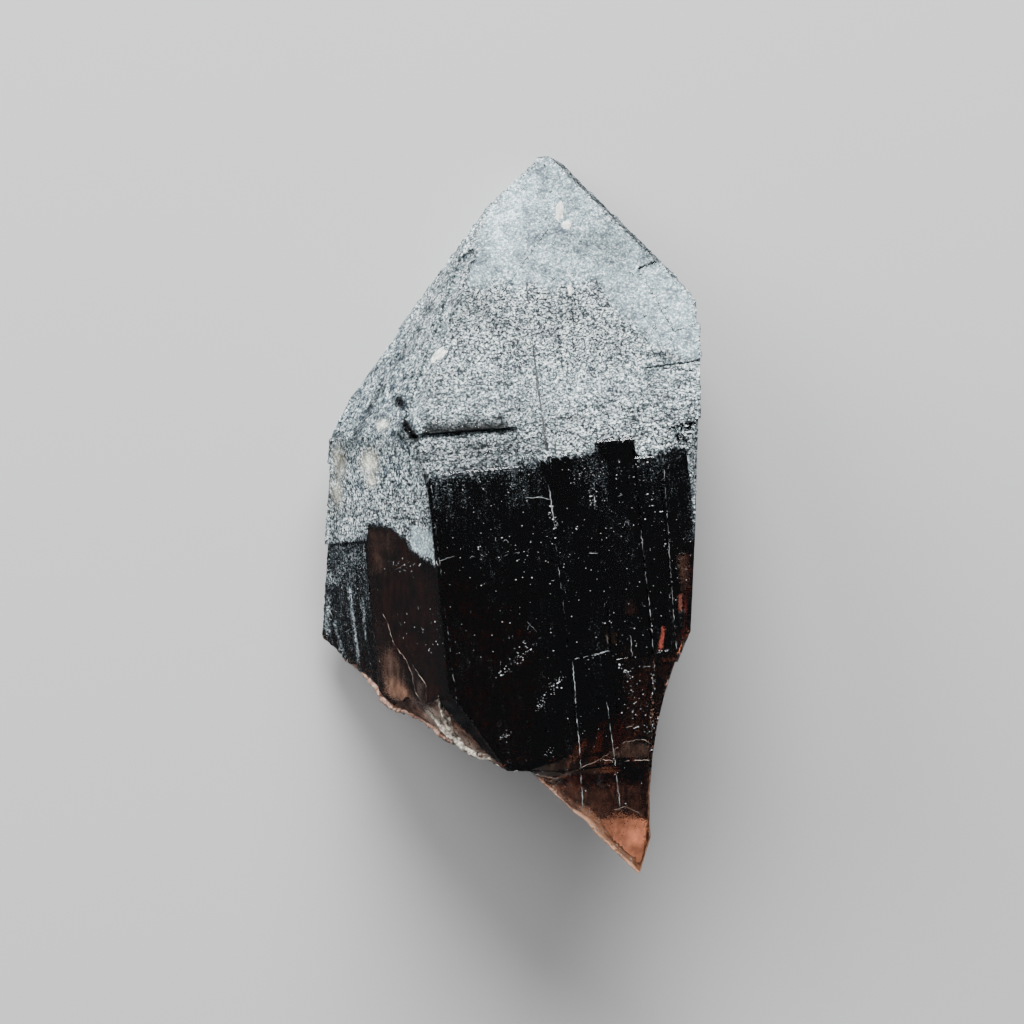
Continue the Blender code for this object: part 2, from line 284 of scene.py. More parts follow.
# Short bruised arcs on the prism: middle, radius, and where the arc starts in degrees.
SCARS = (
    (11.24, -1.6, 0.42, 60), (1.44, -3.3, 0.35, 80), (-4.46, -3.5, 0.3, 40),
    (14.94, -9.0, 0.35, 90), (0.74, -10.9, 0.4, 120), (-4.86, 2.2, 0.25, 30),
    (12.14, -9.5, 0.3, 150), (-1.06, -2.2, 0.28, 10),
)

# Cleaved chips in the frosting: middle, half length and width, turn from +Y in degrees.
CHIPS = (
    (-5.81, 17.1, 1.15, 0.5, -48),
    (7.49, 30.2, 1.3, 0.42, -12),
    (8.04, 28.9, 0.55, 0.5, 20),
    (7.74, 22.3, 0.7, 0.2, 4),
)

# Ridges and bruises of the break that are cream: points of the line and half of its width.
CREAM_RIDGES = (
    (((-11.56, -19.4), (-9.26, -21.2), (-7.36, -22.5), (-5.46, -23.7)), 0.3),
    (((-10.26, -18.2), (-9.46, -19.3), (-8.46, -20.6), (-7.16, -21.7), (-6.06, -22.8),
      (-4.86, -23.5)), 0.5),
    (((-9.16, -16.9), (-9.06, -18.4), (-8.66, -20.0)), 0.3),
)

# Standing ridges of the break: points of the line with the ridge's half width at each.
TAN_RIDGES = (
    ((-16.96, -14.1, 0.10), (-16.36, -14.8, 0.22), (-15.56, -15.7, 0.30), (-14.66, -16.8, 0.32),
     (-13.76, -17.8, 0.30), (-12.66, -18.5, 0.22), (-11.76, -19.1, 0.12)),
    ((-11.86, -19.2, 0.1), (-10.46, -20.3, 0.2), (-9.06, -21.3, 0.22), (-7.66, -22.4, 0.1)),
)
WHITE_RIDGES = (
    ((-10.46, -17.9, 0.05), (-9.76, -19.0, 0.18), (-8.76, -20.3, 0.30), (-7.56, -21.6, 0.40),
     (-6.26, -22.8, 0.42), (-5.26, -23.4, 0.32), (-4.56, -23.7, 0.10)),
    ((-9.16, -16.7, 0.05), (-9.06, -17.8, 0.16), (-8.76, -19.2, 0.26), (-8.16, -20.6, 0.24)),
    ((-8.36, -18.9, 0.05), (-8.06, -20.0, 0.15), (-7.46, -21.2, 0.18)),
)

# Fractures just inside the crystal, whose colours are also painted glow: the brown, tan and orange
# ones stand for light shining through thin quartz, and the small red ones are painted glints. Each
# has an outline, depth, how much shows, how wide its edge fades, and its colour where it is
# brightest.
VEILS_AND_GLOWS = (
    (((-14.45, -14.31), (-13.61, -13.98), (-12.58, -14.69), (-11.7, -15.98), (-11.02, -17.25),
      (-10.23, -18.53), (-10.89, -19.07), (-12.41, -18.12), (-13.51, -17.11), (-14.62, -16.1)),
     0.25, 0.9, 0.8, (0.92, 0.57, 0.41)),
    (((-13.71, -10.76), (-12.91, -11.84), (-12.14, -13.32), (-11.76, -14.56), (-11.7, -15.98),
      (-12.61, -16.09), (-14.19, -15.74), (-14.82, -15.07), (-14.79, -12.66)),
     0.35, 0.75, 1.3, (0.52, 0.35, 0.28)),
    (((-13.96, -7.6), (-13.16, -11.1), (-12.06, -12.8), (-11.46, -16.1), (-9.66, -19.2),
      (-11.36, -19.4), (-14.46, -16.8), (-15.4, -15.0), (-14.86, -9.0)),
     0.5, 0.7, 1.5, (0.22, 0.13, 0.10)),
    (((-12.02, -13.03), (-10.89, -13.84), (-10.32, -15.21), (-10.56, -17.69), (-11.36, -16.61),
      (-11.66, -14.57)),
     0.2, 0.75, 0.5, (0.26, 0.18, 0.15)),
    (((-9.16, -16.8), (-8.91, -18.4), (-8.26, -19.0), (-7.86, -20.4), (-7.06, -21.6),
      (-8.46, -20.9), (-9.76, -19.4), (-10.26, -17.8), (-9.76, -18.0)),
     0.1, 1.15, 0.25, (0.92, 0.84, 0.72)),
    (((-15.86, 3.0), (-7.46, 2.0), (-7.26, -18.0), (-4.86, -23.5), (-11.86, -20.0),
      (-15.46, -15.0)),
     1.5, 0.9, 2.5, (0.085, 0.028, 0.020)),
    (((-15.1, 0.9), (-12.4, 0.6), (-11.4, -0.6), (-11.9, -2.4), (-13.0, -4.6), (-15.0, -4.4)),
     0.3, 0.6, 1.2, (0.24, 0.13, 0.09)),
    (((-9.36, 1.0), (-2.86, -5.5), (2.14, -9.5), (3.14, -17.0), (-0.86, -25.0), (-8.86, -22.0)),
     2.0, 0.8, 3.5, (0.10, 0.045, 0.04)),
    (((9.14, -12.5), (11.64, -14.5), (14.94, -14.6), (13.34, -19.0), (11.64, -24.0),
      (6.44, -24.0), (8.54, -19.0)),
     1.1, 0.6, 1.6, (0.27, 0.18, 0.11)),
    (((15.5, -5.0), (16.9, -4.6), (16.7, -8.6), (15.6, -8.9)),
     0.3, 0.6, 0.5, (0.30, 0.19, 0.14)),
    # painted glints: the small red fractures below stand for light caught inside the right edge
    (((15.41, -8.84), (16.01, -8.9), (15.73, -10.78), (15.32, -10.84)),
     0.1, 1.2, 0.2, (1.0, 0.36, 0.27)),
    (((16.0, -9.0), (16.5, -9.05), (15.93, -12.81), (15.36, -14.56), (14.87, -14.51),
      (15.6, -12.07)),
     0.25, 0.9, 0.3, (0.60, 0.10, 0.08)),
    (((13.51, -11.87), (14.01, -11.92), (13.47, -14.38), (12.87, -14.32)),
     0.15, 1.2, 0.2, (0.95, 0.24, 0.18)),
    (((13.21, -15.06), (14.72, -15.0), (14.26, -16.67), (13.33, -17.98), (12.63, -16.91)),
     0.5, 0.7, 0.5, (0.34, 0.16, 0.12)),
    (((9.99, -8.82), (11.2, -8.74), (11.45, -10.37), (10.58, -10.99), (9.87, -10.02)),
     0.5, 0.7, 0.5, (0.18, 0.08, 0.06)),
    (((7.8, -11.73), (9.19, -11.86), (9.04, -13.45), (7.84, -13.44)),
     0.4, 0.7, 0.4, (0.20, 0.13, 0.10)),
    (((6.54, -24.4), (11.44, -25.0), (11.44, -23.4), (8.94, -22.8)),
     0.3, 0.75, 0.3, (0.28, 0.21, 0.175)),
    (((-0.5, -25.2), (1.2, -26.0), (3.1, -25.4), (0.9, -27.0)),
     0.1, 0.8, 0.15, (0.38, 0.28, 0.23)),
    (((1.0, -27.3), (2.0, -26.2), (10.5, -27.0), (10.6, -30.4), (6.6, -32.6)),
     0.4, 0.7, 1.0, (0.30, 0.14, 0.09)),
    # painted glow: light shining through the thin end of the splinter
    (((4.2, -30.6), (7.64, -29.6), (10.74, -30.8), (9.74, -36.6), (8.14, -36.6)),
     0.08, 1.2, 1.4, (1.6, 0.68, 0.38)),
)

# Where the break is clear and black: the hollow beside the white ridges, and the low step above
# the splinter.
CLEAR_BREAK = (
    (-9.3, -16.2), (-6.0, -16.5), (-2.7, -24.4), (-4.5, -23.3), (-7.6, -19.4), (-9.0, -17.7),
)
CLEAR_RISER = ((-2.6, -24.7), (8.3, -25.2))

# The tan end of the splinter, painted lighter and more orange than the rest of the break: partly
# its tan film, partly a painted glow of the light that shines through its thin quartz.
SPLINTER_GLOW = ((3.14, -29.5), (7.64, -29.8), (10.74, -31.2), (9.74, -36.6), (8.14, -36.6))


def select_only(piece):
    bpy.ops.object.select_all(action="DESELECT")
    piece.select_set(True)
    bpy.context.view_layer.objects.active = piece


def copy_of(source, name):
    piece = source.copy()
    piece.data = source.data.copy()
    piece.name = name
    piece.data.name = name
    piece.parent = None
    for key in list(piece.keys()):
        del piece[key]
    piece.hide_render = False
    piece.hide_viewport = False
    bpy.context.scene.collection.objects.link(piece)
    select_only(piece)
    return piece


def read(items, field, width, kind=np.float32):
    values = np.zeros(len(items) * width, kind)
    items.foreach_get(field, values)
    return values.reshape(-1, width) if width > 1 else values


def places(piece):
    return read(piece.data.vertices, "co", 3).astype(float)


def normals(piece):
    return read(piece.data.vertices, "normal", 3).astype(float)


def move_to(piece, co):
    piece.data.vertices.foreach_set("co", co.astype(np.float32).ravel())
    piece.data.update()


def edit(piece, kind):
    """Open a piece in edit mode with vertices, edges or faces to be selected."""
    select_only(piece)
    modes = ("VERT", "EDGE", "FACE")
    bpy.context.tool_settings.mesh_select_mode = [kind == mode for mode in modes]
    bpy.ops.object.mode_set(mode="EDIT")


def leave_edit():
    bpy.ops.object.mode_set(mode="OBJECT")


def mark_only(mesh, items, picked):
    for others in (mesh.vertices, mesh.edges, mesh.polygons):
        others.foreach_set("select", np.zeros(len(others), bool))
    items.foreach_set("select", picked)


def refine(piece, longest, wanted=None):
    """Divide the edges that are longer than longest, until none is left."""
    mesh = piece.data
    for _ in range(REFINE_PASSES):
        ends = read(mesh.edges, "vertices", 2, np.int32)
        co = places(piece)
        long = np.linalg.norm(co[ends[:, 0]] - co[ends[:, 1]], axis=1) > longest * MM
        if wanted is not None:
            long &= wanted(piece)[ends].all(axis=1)
        if not long.any():
            break
        mark_only(mesh, mesh.edges, long)
        edit(piece, "EDGE")
        bpy.ops.mesh.subdivide(number_cuts=1)
        bpy.ops.mesh.select_all(action="SELECT")
        bpy.ops.mesh.quads_convert_to_tris(quad_method="SHORTEST_DIAGONAL")
        bpy.ops.mesh.beautify_fill(angle_limit=math.radians(0.2))
        leave_edit()


def same_face(out, face, least=0.99):
    """True where the normal is that of the face."""
    return out @ np.array(face) > least


def weigh(piece, name, weights):
    """A vertex group with a weight for each vertex, in steps of a tenth."""
    group = piece.vertex_groups.new(name=name)
    steps = np.round(np.clip(weights, 0, 1) * 10).astype(int)
    for step in range(1, 11):
        picked = np.nonzero(steps == step)[0]
        if len(picked):
            group.add(picked.tolist(), step / 10, "REPLACE")


def relief(piece, group, kind, depth, scale, turn=(0, 0, 0), middle=(0, 0, 0), rise=1.0, **looks):
    """Press a pattern into a piece where a vertex group holds, by a Displace modifier."""
    texture = bpy.data.textures.new(group, kind)
    for key, value in looks.items():
        setattr(texture, key, value)
    holder = bpy.data.objects.new("pattern", None)
    holder.location = Vector(middle) * MM
    holder.rotation_euler = [math.radians(angle) for angle in turn]
    holder.scale = [size * MM for size in scale]
    bpy.context.scene.collection.objects.link(holder)
    bpy.context.view_layer.update()
    select_only(piece)
    step = piece.modifiers.new(group, "DISPLACE")
    step.texture = texture
    step.texture_coords = "OBJECT"
    step.texture_coords_object = holder
    step.vertex_group = group
    step.strength = depth * MM
    step.mid_level = rise
    bpy.ops.object.modifier_apply(modifier=step.name)
    bpy.data.objects.remove(holder)
    bpy.data.textures.remove(texture)


def body_from(node):
    body = copy_of(node, "smoky_quartz_body")
    edit(body, "VERT")
    bpy.ops.mesh.select_all(action="SELECT")
    bpy.ops.mesh.remove_doubles(threshold=1e-6)
    bpy.ops.mesh.dissolve_limited(angle_limit=math.radians(0.4))
    bpy.ops.mesh.quads_convert_to_tris()
    leave_edit()
    refine(body, BODY_EDGE)
    return body


def broken_share(piece):
    """1 on the broken surface and 0 on the faces that grew."""
    corners = corners_of(piece)
    faces = read(piece.data.polygons, "normal", 3).astype(float)
    centres = read(piece.data.polygons, "center", 3).astype(float) / MM
    grown = np.zeros(len(faces), bool)
    for face in GROWN_FACES:
        unit = np.array(face) / np.linalg.norm(face)
        grown |= faces @ unit > 0.9975
    grown |= centres[:, 1] > BREAK_TOP
    upright = np.abs(faces[:, :2]).max(axis=1) > 0.985
    grown |= (centres[:, 2] > FRONT_LEVEL + 0.1) & upright
    share = np.ones(len(piece.data.vertices))
    for corner in range(3):
        share[corners[grown, corner]] = 0
    return share


def edge_share(piece, angle):
    """1 at the vertices of the sharp edges."""
    ends = read(piece.data.edges, "vertices", 2, np.int32)
    loops = read(piece.data.loops, "edge_index", 1, np.int32).reshape(-1, 3)
    faces = read(piece.data.polygons, "normal", 3).astype(float)
    total = np.zeros((len(ends), 3))
    for corner in range(3):
        np.add.at(total, loops[:, corner], faces)
    bend = np.linalg.norm(total, axis=1) / 2 < math.cos(math.radians(angle) / 2)
    share = np.zeros(len(piece.data.vertices))
    share[ends[bend].ravel()] = 1
    return share


def wear(body):
    """Roughen the break and the frosted faces, and chip the edges."""
    co, out = places(body), normals(body)
    x, y, z = (co / MM).T
    standing = z > 0.02
    broken = broken_share(body) * standing
    set_value(body, "on break", broken)
    on_splinter = np.clip((-23.0 - y) / 2, 0, 1)
    on_front = (z > FRONT_LEVEL) & (y < 5.8)
    thin_step = np.exp(-((line_distance(x, y, THIN_STEP) / 1.5) ** 4))
    worn = (1 - 0.8 * on_splinter) * standing * np.where(on_front, 0.25, 1) * (1 - thin_step)
    weigh(body, "broken", broken * (1 - 0.8 * on_splinter))
    below_tip = np.clip((34.5 - y) / 3, 0, 1)
    weigh(body, "edges", edge_share(body, SHARP_ANGLE) * worn * (1 - 0.75 * broken) * below_tip)
    frosted = np.clip(frost_reach(co, out) / 2 + 0.5, 0, 1) * standing * (1 - broken)
    weigh(body, "frosted", frosted)
    weigh(body, "left point", frosted * same_face(out, LEFT_POINT, 0.9))
    relief(body, "broken", "WOOD", 0.14, (5.5, 5.5, 5.5), (30, 20, 0), (-16, -9, 30),
           wood_type="RINGNOISE", noise_scale=0.6, turbulence=1.2)
    relief(body, "broken", "CLOUDS", 0.30, (1, 1, 1), noise_scale=2.6, noise_depth=1)
    relief(body, "frosted", "CLOUDS", 0.12, (1, 0.6, 1), noise_scale=1.5, noise_depth=2)
    relief(body, "left point", "CLOUDS", 0.35, (0.8, 5.0, 0.8), (0, 0, -42), noise_scale=0.8)
    relief(body, "edges", "CLOUDS", 0.22, (1, 1, 1), noise_scale=0.8, contrast=2.2,
           intensity=1.25)
    low, high = (np.array(corner) for corner in cad_box)
    move_to(body, np.clip(places(body), low, high - FROST_RISE * MM))


def frost_reach(co, out):
    """How far, in mm, each place lies inside the frosting's border."""
    x, y = co[:, 0] / MM, co[:, 1] / MM
    border = np.array(FROST_BORDER)
    front = y - np.interp(x, border[:, 0], border[:, 1])
    behind = y - (3.4 + 1.2 * np.sin(x * 0.5) - 0.5 * np.sin(x * 1.7))
    seen = np.clip(out[:, 2] * 5 + 1.5, 0, 1)
    return seen * front + (1 - seen) * behind


def line_distance(x, y, line):
    """Distance, in mm, from each place to a line of points, as seen from above."""
    least = np.full(len(x), 1e9)
    for (ax, ay), (bx, by) in zip(line, line[1:]):
        dx, dy = bx - ax, by - ay
        along = np.clip(((x - ax) * dx + (y - ay) * dy) / (dx * dx + dy * dy), 0, 1)
        least = np.minimum(least, np.hypot(x - ax - along * dx, y - ay - along * dy))
    return least


def frost_cover(co, out):
    """Share of each place that the frosting covers."""
    x, y = co[:, 0] / MM, co[:, 1] / MM
    reach = frost_reach(co, out)
    soft = (x > -7.86) & (x < 2.74) & (out[:, 2] > 0)
    reach = reach + 0.10 * np.sin(x * 5.3) + 0.06 * np.sin(x * 11.0 + 1)
    slope = np.where(soft, 0.20, np.where(x < -14.9, 0.5, 0.9))
    cover = np.clip(0.53 + reach * slope, 0, 1)
    seen = out[:, 2] > -0.1
    left_strip = seen & (x < -15.06) & (reach < 0.5)
    fade = np.clip(0.38 + (y + 4) * 0.028, 0.22, 0.48)
    cover = np.where(left_strip, np.maximum(cover, fade), cover)
    front = seen & (out[:, 2] > 0.85) & (reach < 0.5)
    haze = 0.13 + 0.02 * (y + 3) * (y > -3) + 0.06 * np.sin(x * 0.9 + 1) * np.sin(y * 0.35)
    cover = np.where(front, np.maximum(cover, haze), cover)
    cover = np.where(same_face(out, SLIVER) & seen, 0.55, cover)
    for line, half, adds in STREAKS:
        near = np.exp(-((line_distance(x, y, line) / half) ** 2))
        cover = np.where(seen, cover + adds * near, cover)
    return np.clip(cover, 0, 1)


def frost_shade(co):
    """Painted light and shade: the light each place of the frosting gives back, against its mean.
    """
    x, y = co[:, 0] / MM, co[:, 1] / MM
    shade = np.ones(len(x))
    for line, half, adds in SHADES:
        shade += adds * np.exp(-((line_distance(x, y, line) / half) ** 2))
    for mid_x, mid_y, half_x, half_y, adds in TONES:
        shade += 1.25 * adds * np.exp(-(((x - mid_x) / half_x) ** 2) - ((y - mid_y) / half_y) ** 2)
    (left, left_y), (right, right_y), tall, low = LEDGE
    along = np.clip((x - left) / (right - left), 0, 1)
    above = y - (left_y + along * (right_y - left_y))
    reach = tall + (low - tall) * along
    # painted light: the frosting on the left prism face is painted lighter
    shade += 0.45 * np.clip((-8.6 - x) / 1.5, 0, 1) * np.clip((8 - y) / 3, 0, 1)
    on_ledge = (x > left) & (x < right) & (above > 0)
    ends = np.clip((right - x) / 1.0, 0, 1)
    shade -= np.where(on_ledge, 0.85 * ends * np.exp(-((np.abs(above) / reach) ** 3)), 0)
    return np.clip(shade, 0.03, 1.6)


def blots(x, y, places_of):
    """The strongest of some soft round places, at each X and Y."""
    share = np.zeros(len(x))
    for mid_x, mid_y, half_x, half_y, most in places_of:
        near = np.exp(-(((x - mid_x) / half_x) ** 2) - ((y - mid_y) / half_y) ** 2)
        share = np.maximum(share, most * near)
    return share


def set_value(piece, name, values):
    attribute = piece.data.attributes.new(name, "FLOAT", "POINT")
    attribute.data.foreach_set("value", values.astype(np.float32))


def corners_of(piece):
    """The three vertices of each face."""
    return read(piece.data.loops, "vertex_index", 1, np.int32).reshape(-1, 3)


def delete_faces(piece, picked):
    mark_only(piece.data, piece.data.polygons, picked)
    edit(piece, "FACE")
    bpy.ops.mesh.delete(type="FACE")
    leave_edit()


def keep_faces(piece, keep):
    """Delete the faces with no vertex that keep is true for."""
    delete_faces(piece, ~keep[corners_of(piece)].any(axis=1))


def drop_walls(piece):
    """Delete the faces that stand between two levels of the crystal, or hang from its rim."""
    heights = places(piece)[corners_of(piece), 2]
    delete_faces(piece, np.ptp(heights, axis=1) > LEVEL_GAP * MM)


def give_thickness(piece, thickness):
    shell = piece.modifiers.new("shell", "SOLIDIFY")
    shell.thickness = thickness * MM
    shell.offset = -1
    bpy.ops.object.modifier_apply(modifier=shell.name)


def fine_places(piece):
    """True on the upper side of the frosting along its fine lines, its ledge and its border."""
    co, out = places(piece), normals(piece)
    x, y = co[:, 0] / MM, co[:, 1] / MM
    fine = np.abs(frost_reach(co, out)) < BORDER_REACH
    for line, half, _ in (*STREAKS, *SHADES):
        if half < FINE_LINE:
            fine |= line_distance(x, y, line) < half + LINE_MARGIN
    fine |= line_distance(x, y, LEDGE[:2]) < 2 * LINE_MARGIN
    fine |= line_distance(x, y, (*CLEAVED, CLEAVED[0])) < LINE_MARGIN
    return fine & (out[:, 2] > 0.05)


def frost_skin(body):
    """The thin frosting of the upper side and of the back, with what its material reads."""
    skin = copy_of(body, "point_frosting")
    skin.vertex_groups.clear()
    co, out = places(skin), normals(skin)
    cover = frost_cover(co, out)
    keep_faces(skin, (cover > 0.04) & (out[:, 2] > -0.95))
    refine(skin, FROST_EDGE, fine_places)
    co, out = places(skin), normals(skin)
    weigh(skin, "frosted", np.ones(len(co)))
    relief(skin, "frosted", "CLOUDS", 0.05, (1, 1, 1), noise_scale=0.45, noise_depth=2)
    co, out = places(skin), normals(skin)
    x, y = co[:, 0] / MM, co[:, 1] / MM
    top = np.array(COARSE_TOP)
    start = np.interp(x, top[:, 0], top[:, 1]) + 0.3 * np.sin(x * 1.9) + 0.2 * np.sin(x * 4.7 + 1)
    coarse = np.clip((start - y) / 1.2, 0, 1) * np.clip(0.78 + np.abs(y - 12.5) * 0.05, 0, 1)
    coarse = np.where(same_face(out, GREAT_POINT, 0.96) | (y < 9), coarse, 0.8)
    smooth = np.clip(inside_by(x, y, CLEAVED) / 0.2, 0, 1)
    set_value(skin, "cover", frost_cover(co, out))
    set_value(skin, "coarse", coarse * (1 - smooth))
    set_value(skin, "shade", frost_shade(co))
    set_value(skin, "streaked", np.clip((-x - 7.5) / 2, 0, 1) * (y > 4))
    set_value(skin, "warm", blots(x, y, WARM) * (out[:, 2] > 0))
    on_left_prism = np.clip((7.5 - y) / 2, 0, 1) * (x < -8.3)
    low_on_point = 0.75 * np.clip((15 - y) / 6, 0, 1) * np.clip((x + 9) / 1.5, 0, 1)
    on_left_prism = on_left_prism * (1 - smooth) * np.clip((x + 16.5) / 2.5, 0.35, 0.85)
    set_value(skin, "rippled", np.where(x < -8.3, on_left_prism, low_on_point))
    move_to(skin, co + out * FROST_RISE * MM)
    back = copy_of(skin, "back_frosting")
    facing = read(skin.data.polygons, "normal", 3)[:, 2]
    for part, rest in ((skin, facing < BACK_FACING), (back, facing >= BACK_FACING)):
        delete_faces(part, rest)
        give_thickness(part, FROST_DEPTH)
    return skin, back


def break_skin(body):
    """The matt, bruised film of the broken surface, with its ridges."""
    skin = copy_of(body, "bruised_break")
    broken = read(skin.data.attributes["on break"].data, "value", 1)
    keep_faces(skin, broken > 0.6)
    refine(skin, BREAK_EDGE, lambda piece: normals(piece)[:, 2] > -0.3)
    co, out = places(skin), normals(skin)
    x, y = co[:, 0] / MM, co[:, 1] / MM
    cream = np.zeros(len(x))
    for line, half in CREAM_RIDGES:
        cream = np.maximum(cream, np.exp(-((line_distance(x, y, line) / half) ** 2)))
    set_value(skin, "cream", cream * (out[:, 2] > -0.5))
    set_value(skin, "tip", np.clip(inside_by(x, y, SPLINTER_GLOW) + 0.6, 0, 1))
    bare = np.clip(inside_by(x, y, CLEAR_BREAK) * 3 + 0.5, 0, 1)
    bare = np.maximum(bare, 0.55 * np.clip(x - 8.5, 0, 1) * (y > -26))
    above_splinter = np.clip((y + 26) / 2, 0, 1)
    bare = np.maximum(bare, 0.55 * np.clip((0.45 - out[:, 2]) / 0.3, 0, 1) * above_splinter)
    on_riser = np.exp(-((line_distance(x, y, CLEAR_RISER) / 0.7) ** 4))
    set_value(skin, "bare", np.maximum(bare, 1.5 * on_riser))
    weigh(skin, "film", np.ones(len(co)))
    relief(skin, "film", "CLOUDS", 0.12, (1, 1, 1), noise_scale=0.7, noise_depth=2)
    move_to(skin, places(skin) + normals(skin) * FILM_RISE * MM)
    give_thickness(skin, FILM_DEPTH)
    return skin


def inside_by(x, y, outline):
    """How far, in mm, each place lies inside an outline."""
    closed = (*outline, outline[0])
    away = line_distance(x, y, closed)
    within = np.zeros(len(x), bool)
    for (ax, ay), (bx, by) in zip(closed, closed[1:]):
        if ay == by:
            continue
        crossing = (ay > y) != (by > y)
        within ^= crossing & (x < (bx - ax) * (y - ay) / (by - ay) + ax)
    return np.where(within, away, -away)


def veil_with_painted_glow(tree, number, outline, depth, fade):
    """A fracture, painted partly as glow, a little below the surface of the crystal."""
    corners = np.array(outline)
    low, high = corners.min(axis=0) - 0.2, corners.max(axis=0) + 0.2
    width, length = high - low
    bpy.ops.mesh.primitive_grid_add(
        x_subdivisions=round(width / VEIL_STEP), y_subdivisions=round(length / VEIL_STEP), size=1.0,
    )
    sheet = bpy.context.object
    sheet.name = f"inner_fracture_and_glow_{number}"
    co = places(sheet)
    x, y = (co[:, 0] + 0.5) * width + low[0], (co[:, 1] + 0.5) * length + low[1]
    share = inside_by(x, y, outline)
    deep = np.zeros(len(x))
    for index in range(len(x)):
        spot, _ = top_of(tree, x[index], y[index])
        if spot is None:
            share[index] = -1
            continue
        under, _, _, thick = tree.ray_cast(spot - Vector((0, 0, SKIP * MM)), Vector((0, 0, -1)))
        waves = 0.12 * math.sin(x[index] * 1.7 + y[index] * 0.6) + 0.08 * math.sin(y[index] * 2.3)
        if under is None or thick < THINNEST * MM:
            share[index] = -1
            continue
        deep[index] = spot.z / MM - min(depth * (1 + waves), DEEPEST * thick / MM)
    move_to(sheet, np.stack([x, y, deep], axis=1) * MM)
    set_value(sheet, "inside", np.clip(share / fade, -1, 1))
    edit(sheet, "FACE")
    bpy.ops.mesh.select_all(action="SELECT")
    bpy.ops.mesh.quads_convert_to_tris()
    leave_edit()
    keep_faces(sheet, share > -0.02)
    drop_walls(sheet)
    give_thickness(sheet, VEIL_DEPTH)
    return sheet


class Nodes:
    """The nodes of a material or of a shared effect."""

    def node(self, kind, **values):
        made = self.tree.nodes.new("ShaderNode" + kind)
        for name, value in values.items():
            setattr(made, name, value)
        return made

    def link(self, source, target):
        self.tree.links.new(source, target)

    def give(self, socket, value):
        """Set a socket to a number, a vector or a colour, or link another socket to it."""
        if isinstance(value, bpy.types.NodeSocket):
            self.link(value, socket)
        elif isinstance(value, tuple) and len(socket.default_value) > len(value):
            socket.default_value = (*value, 1)
        else:
            socket.default_value = value

    def noise(self, scale, detail=2.0, stretch=(1, 1, 1), rough=0.5, turn=None):
        """A noise pattern in the crystal's own place, turned about Z first and then stretched."""
        place = self.node("TexCoord").outputs["Object"]
        for label, value in (("Rotation", turn), ("Scale", stretch)):
            if value not in (None, (1, 1, 1)):
                mapping = self.node("Mapping")
                self.give(mapping.inputs[label], value)
                self.link(place, mapping.inputs["Vector"])
                place = mapping.outputs["Vector"]
        made = self.node("TexNoise")
        for label, value in (("Scale", scale), ("Detail", detail), ("Roughness", rough)):
            self.give(made.inputs[label], value)
        self.link(place, made.inputs["Vector"])
        return made.outputs["Fac"]

    def math(self, operation, *values):
        made = self.node("Math", operation=operation)
        for socket, value in zip(made.inputs, values):
            self.give(socket, value)
        return made.outputs["Value"]

    def ramp(self, value, stops):
        made = self.node("ValToRGB")
        elements = made.color_ramp.elements
        while len(elements) < len(stops):
            elements.new(0.5)
        for element, (position, colour) in zip(elements, stops):
            element.position = position
            element.color = (*colour, 1)
        self.link(value, made.inputs["Fac"])
        return made.outputs["Color"]

    def mix(self, share, first, second, **values):
        made = self.node("Mix", data_type="RGBA", **values)
        for number, value in ((0, share), (6, first), (7, second)):
            self.give(made.inputs[number], value)
        return made.outputs[2]

    def times(self, colour, other, share=1.0):
        return self.mix(share, colour, other, blend_type="MULTIPLY", clamp_result=True)

    def value_of(self, name):
        return self.node("Attribute", attribute_name=name).outputs["Fac"]

    def effect(self, group, **values):
        """A shared effect with its own values, given by the names of its inputs."""
        made = self.node("Group", node_tree=group)
        for name, value in values.items():
            self.give(made.inputs[name.replace("_", " ")], value)
        return made.outputs


class Effect(Nodes):
    """An effect that more than one material uses."""

    def __init__(self, name, takes, gives):
        self.tree = bpy.data.node_groups.new(name, "ShaderNodeTree")
        for label, kind, value in takes:
            socket = self.tree.interface.new_socket(label, in_out="INPUT", socket_type=kind)
            socket.default_value = value
        for label, kind in gives:
            self.tree.interface.new_socket(label, in_out="OUTPUT", socket_type=kind)
        self.takes = self.tree.nodes.new("NodeGroupInput").outputs
        self.gives = self.tree.nodes.new("NodeGroupOutput").inputs


class Paint(Nodes):
    """A material and the nodes that are added to it."""

    def __init__(self, name):
        self.material = bpy.data.materials.new(name)
        self.material.use_nodes = True
        self.tree = self.material.node_tree
        self.shader = self.tree.nodes["Principled BSDF"]

    def set(self, **values):
        for name, value in values.items():
            self.shader.inputs[name.replace("_", " ")].default_value = value

    def bump(self, height, distance):
        made = self.node("Bump")
        made.inputs["Distance"].default_value = distance * MM
        self.link(height, made.inputs["Height"])
        self.link(made.outputs["Normal"], self.shader.inputs["Normal"])


FLOAT, VECTOR, COLOUR = "NodeSocketFloat", "NodeSocketVector", "NodeSocketColor"


def speckle_effect():
    """A film that covers only a share of what is under it, in specks."""
    takes = ("Grain Scale", FLOAT, 5000.0), ("Share", FLOAT, 0.5)
    effect = Effect("speckled film", takes, (("Cover", FLOAT),))
    grain = effect.noise(effect.takes["Grain Scale"], 3.0, rough=0.6)
    effect.give(effect.gives["Cover"], effect.math("LESS_THAN", grain, effect.takes["Share"]))
    return effect.tree


def rib_effect():
    """Ribs of one direction, as on broken and grown quartz."""
    takes = ("Turn", VECTOR, (0, 0, 0)), ("Stretch", VECTOR, (500, 2600, 700))
    effect = Effect("stone ribs", takes, (("Ribs", FLOAT),))
    ribs = effect.noise(1.0, 3.5, effect.takes["Stretch"], 0.62, effect.takes["Turn"])
    effect.give(effect.gives["Ribs"], ribs)
    return effect.tree


